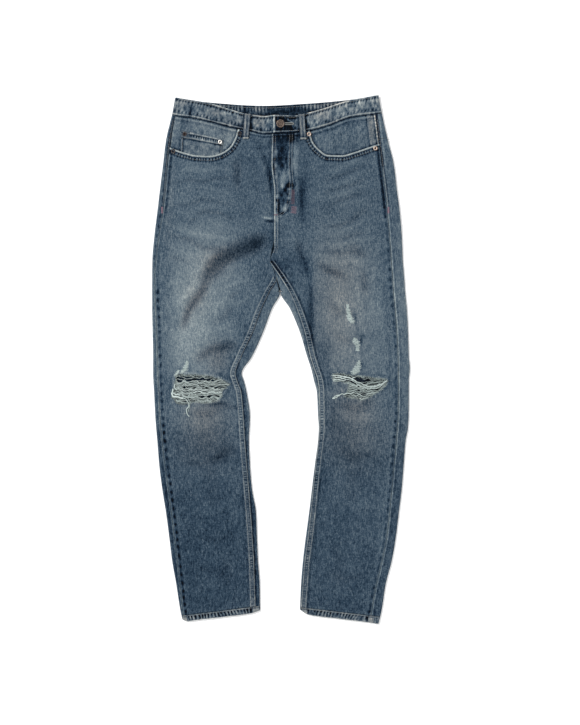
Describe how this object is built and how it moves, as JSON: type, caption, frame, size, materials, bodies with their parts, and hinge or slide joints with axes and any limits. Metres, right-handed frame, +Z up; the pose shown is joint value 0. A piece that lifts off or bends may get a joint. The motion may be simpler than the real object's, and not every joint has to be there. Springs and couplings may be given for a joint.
{
  "type": "ripped jeans",
  "caption": "Slim denim jeans lying flat with the front up: scoop and patch pockets, belt loops, a lapped fly with a tack button, turned hems and frayed rips at the knees.",
  "frame": {"origin": "centre of the bounding box's bottom face, on the ground under the gap between the legs", "axes": "+X to the wearer's left, +Y from the hems to the waist, +Z up off the ground out of the garment's front"},
  "size_m": [0.529, 1.084, 0.0136],
  "materials": {
    "denim": "washed indigo twill, faded on the thighs",
    "weft_thread": "bare undyed weft threads, frayed",
    "zip_tape": "plain woven tape",
    "button_metal": "worn antique silver",
    "rivet_copper": "worn copper"
  },
  "bodies": {
    "root": {"front_right": "denim", "front_left": "denim", "back_right": "denim", "back_left": "denim", "yoke_right": "denim", "yoke_left": "denim", "waistband": "denim", "hem_right": "denim", "hem_left": "denim", "pocket_facing_right": "denim", "pocket_facing_left": "denim", "coin_pocket": "denim", "back_pocket_right": "denim", "back_pocket_left": "denim", "fly_shield": "denim", "belt_loop_front_right": "denim", "belt_loop_front_left": "denim", "belt_loop_back_right": "denim", "belt_loop_back_centre": "denim", "belt_loop_back_left": "denim", "rip_threads_right": "weft_thread", "rip_threads_left": "weft_thread", "fly_zip": "zip_tape", "waist_button": "button_metal", "rivet_left_waist": "button_metal", "rivet_coin_inner": "button_metal", "rivet_right_waist": "rivet_copper", "rivet_right_side": "rivet_copper", "rivet_left_side": "rivet_copper", "rivet_coin_outer": "rivet_copper"}
  },
  "joints": []
}
